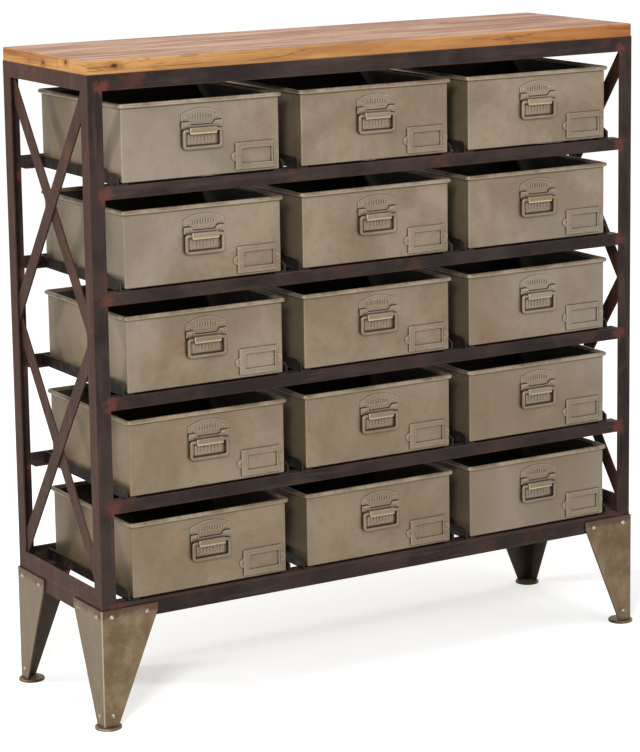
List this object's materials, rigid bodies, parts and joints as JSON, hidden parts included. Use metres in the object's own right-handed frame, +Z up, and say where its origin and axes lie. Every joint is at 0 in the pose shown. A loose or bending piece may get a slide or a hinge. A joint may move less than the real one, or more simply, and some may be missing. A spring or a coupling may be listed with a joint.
{
  "type": "seed storage cabinet",
  "caption": "Free-standing angle-iron cabinet with a plank top, folded tapered legs, crossed side braces and open sheet-steel drawers with bail pulls and label frames.",
  "frame": {"origin": "on the floor under the centre of the cabinet", "axes": "+X to the right seen from the front, +Y from the drawer fronts to the back, +Z up"},
  "size_m": [1.037, 0.3218, 1.04],
  "materials": {
    "mango_wood": "oiled planks with long grain",
    "frame_steel": "dark waxed steel with rusty weld patches",
    "drawer_steel": "aged satin sheet steel",
    "rivet_steel": "worn bright domes"
  },
  "bodies": {
    "frame": {"wood_top": "mango_wood", "top_rails": "frame_steel", "post_front_left": "frame_steel", "post_front_right": "frame_steel", "post_back_left": "frame_steel", "post_back_right": "frame_steel", "front_rails": "frame_steel", "back_rails": "frame_steel", "bottom_rails": "frame_steel", "base_frame": "frame_steel", "drawer_runners": "frame_steel", "side_braces": "frame_steel", "legs": "drawer_steel", "foot_discs": "frame_steel", "leg_rivets": "rivet_steel"},
    "drawer_1_left": {"tray_1_left": "drawer_steel", "fittings_1_left": "drawer_steel"},
    "pull_1_left": {"bail_1_left": "drawer_steel"},
    "drawer_1_middle": {"tray_1_middle": "drawer_steel", "fittings_1_middle": "drawer_steel"},
    "pull_1_middle": {"bail_1_middle": "drawer_steel"},
    "drawer_1_right": {"tray_1_right": "drawer_steel", "fittings_1_right": "drawer_steel"},
    "pull_1_right": {"bail_1_right": "drawer_steel"},
    "drawer_2_left": {"tray_2_left": "drawer_steel", "fittings_2_left": "drawer_steel"},
    "pull_2_left": {"bail_2_left": "drawer_steel"},
    "drawer_2_middle": {"tray_2_middle": "drawer_steel", "fittings_2_middle": "drawer_steel"},
    "pull_2_middle": {"bail_2_middle": "drawer_steel"},
    "drawer_2_right": {"tray_2_right": "drawer_steel", "fittings_2_right": "drawer_steel"},
    "pull_2_right": {"bail_2_right": "drawer_steel"},
    "drawer_3_left": {"tray_3_left": "drawer_steel", "fittings_3_left": "drawer_steel"},
    "pull_3_left": {"bail_3_left": "drawer_steel"},
    "drawer_3_middle": {"tray_3_middle": "drawer_steel", "fittings_3_middle": "drawer_steel"},
    "pull_3_middle": {"bail_3_middle": "drawer_steel"},
    "drawer_3_right": {"tray_3_right": "drawer_steel", "fittings_3_right": "drawer_steel"},
    "pull_3_right": {"bail_3_right": "drawer_steel"},
    "drawer_4_left": {"tray_4_left": "drawer_steel", "fittings_4_left": "drawer_steel"},
    "pull_4_left": {"bail_4_left": "drawer_steel"},
    "drawer_4_middle": {"tray_4_middle": "drawer_steel", "fittings_4_middle": "drawer_steel"},
    "pull_4_middle": {"bail_4_middle": "drawer_steel"},
    "drawer_4_right": {"tray_4_right": "drawer_steel", "fittings_4_right": "drawer_steel"},
    "pull_4_right": {"bail_4_right": "drawer_steel"},
    "drawer_5_left": {"tray_5_left": "drawer_steel", "fittings_5_left": "drawer_steel"},
    "pull_5_left": {"bail_5_left": "drawer_steel"},
    "drawer_5_middle": {"tray_5_middle": "drawer_steel", "fittings_5_middle": "drawer_steel"},
    "pull_5_middle": {"bail_5_middle": "drawer_steel"},
    "drawer_5_right": {"tray_5_right": "drawer_steel", "fittings_5_right": "drawer_steel"},
    "pull_5_right": {"bail_5_right": "drawer_steel"}
  },
  "joints": [
    {"name": "slide_1_left", "type": "slide", "parent": "frame", "child": "drawer_1_left", "axis": [0, -1, 0], "range_m": [0, 0.2]},
    {"name": "swing_1_left", "type": "hinge", "parent": "drawer_1_left", "child": "pull_1_left", "pos_m": [-0.315, -0.1527, 0.9231], "axis": [-1, 0, 0], "range_deg": [0, 170]},
    {"name": "slide_1_middle", "type": "slide", "parent": "frame", "child": "drawer_1_middle", "axis": [0, -1, 0], "range_m": [0, 0.2]},
    {"name": "swing_1_middle", "type": "hinge", "parent": "drawer_1_middle", "child": "pull_1_middle", "pos_m": [0, -0.1527, 0.9231], "axis": [-1, 0, 0], "range_deg": [0, 170]},
    {"name": "slide_1_right", "type": "slide", "parent": "frame", "child": "drawer_1_right", "axis": [0, -1, 0], "range_m": [0, 0.2]},
    {"name": "swing_1_right", "type": "hinge", "parent": "drawer_1_right", "child": "pull_1_right", "pos_m": [0.315, -0.1527, 0.9231], "axis": [-1, 0, 0], "range_deg": [0, 170]},
    {"name": "slide_2_left", "type": "slide", "parent": "frame", "child": "drawer_2_left", "axis": [0, -1, 0], "range_m": [0, 0.2]},
    {"name": "swing_2_left", "type": "hinge", "parent": "drawer_2_left", "child": "pull_2_left", "pos_m": [-0.315, -0.1527, 0.7607], "axis": [-1, 0, 0], "range_deg": [0, 170]},
    {"name": "slide_2_middle", "type": "slide", "parent": "frame", "child": "drawer_2_middle", "axis": [0, -1, 0], "range_m": [0, 0.2]},
    {"name": "swing_2_middle", "type": "hinge", "parent": "drawer_2_middle", "child": "pull_2_middle", "pos_m": [0, -0.1527, 0.7607], "axis": [-1, 0, 0], "range_deg": [0, 170]},
    {"name": "slide_2_right", "type": "slide", "parent": "frame", "child": "drawer_2_right", "axis": [0, -1, 0], "range_m": [0, 0.2]},
    {"name": "swing_2_right", "type": "hinge", "parent": "drawer_2_right", "child": "pull_2_right", "pos_m": [0.315, -0.1527, 0.7607], "axis": [-1, 0, 0], "range_deg": [0, 170]},
    {"name": "slide_3_left", "type": "slide", "parent": "frame", "child": "drawer_3_left", "axis": [0, -1, 0], "range_m": [0, 0.2]},
    {"name": "swing_3_left", "type": "hinge", "parent": "drawer_3_left", "child": "pull_3_left", "pos_m": [-0.315, -0.1527, 0.5983], "axis": [-1, 0, 0], "range_deg": [0, 170]},
    {"name": "slide_3_middle", "type": "slide", "parent": "frame", "child": "drawer_3_middle", "axis": [0, -1, 0], "range_m": [0, 0.2]},
    {"name": "swing_3_middle", "type": "hinge", "parent": "drawer_3_middle", "child": "pull_3_middle", "pos_m": [0, -0.1527, 0.5983], "axis": [-1, 0, 0], "range_deg": [0, 170]},
    {"name": "slide_3_right", "type": "slide", "parent": "frame", "child": "drawer_3_right", "axis": [0, -1, 0], "range_m": [0, 0.2]},
    {"name": "swing_3_right", "type": "hinge", "parent": "drawer_3_right", "child": "pull_3_right", "pos_m": [0.315, -0.1527, 0.5983], "axis": [-1, 0, 0], "range_deg": [0, 170]},
    {"name": "slide_4_left", "type": "slide", "parent": "frame", "child": "drawer_4_left", "axis": [0, -1, 0], "range_m": [0, 0.2]},
    {"name": "swing_4_left", "type": "hinge", "parent": "drawer_4_left", "child": "pull_4_left", "pos_m": [-0.315, -0.1527, 0.4359], "axis": [-1, 0, 0], "range_deg": [0, 170]},
    {"name": "slide_4_middle", "type": "slide", "parent": "frame", "child": "drawer_4_middle", "axis": [0, -1, 0], "range_m": [0, 0.2]},
    {"name": "swing_4_middle", "type": "hinge", "parent": "drawer_4_middle", "child": "pull_4_middle", "pos_m": [0, -0.1527, 0.4359], "axis": [-1, 0, 0], "range_deg": [0, 170]},
    {"name": "slide_4_right", "type": "slide", "parent": "frame", "child": "drawer_4_right", "axis": [0, -1, 0], "range_m": [0, 0.2]},
    {"name": "swing_4_right", "type": "hinge", "parent": "drawer_4_right", "child": "pull_4_right", "pos_m": [0.315, -0.1527, 0.4359], "axis": [-1, 0, 0], "range_deg": [0, 170]},
    {"name": "slide_5_left", "type": "slide", "parent": "frame", "child": "drawer_5_left", "axis": [0, -1, 0], "range_m": [0, 0.2]},
    {"name": "swing_5_left", "type": "hinge", "parent": "drawer_5_left", "child": "pull_5_left", "pos_m": [-0.315, -0.1527, 0.2735], "axis": [-1, 0, 0], "range_deg": [0, 170]},
    {"name": "slide_5_middle", "type": "slide", "parent": "frame", "child": "drawer_5_middle", "axis": [0, -1, 0], "range_m": [0, 0.2]},
    {"name": "swing_5_middle", "type": "hinge", "parent": "drawer_5_middle", "child": "pull_5_middle", "pos_m": [0, -0.1527, 0.2735], "axis": [-1, 0, 0], "range_deg": [0, 170]},
    {"name": "slide_5_right", "type": "slide", "parent": "frame", "child": "drawer_5_right", "axis": [0, -1, 0], "range_m": [0, 0.2]},
    {"name": "swing_5_right", "type": "hinge", "parent": "drawer_5_right", "child": "pull_5_right", "pos_m": [0.315, -0.1527, 0.2735], "axis": [-1, 0, 0], "range_deg": [0, 170]}
  ]
}
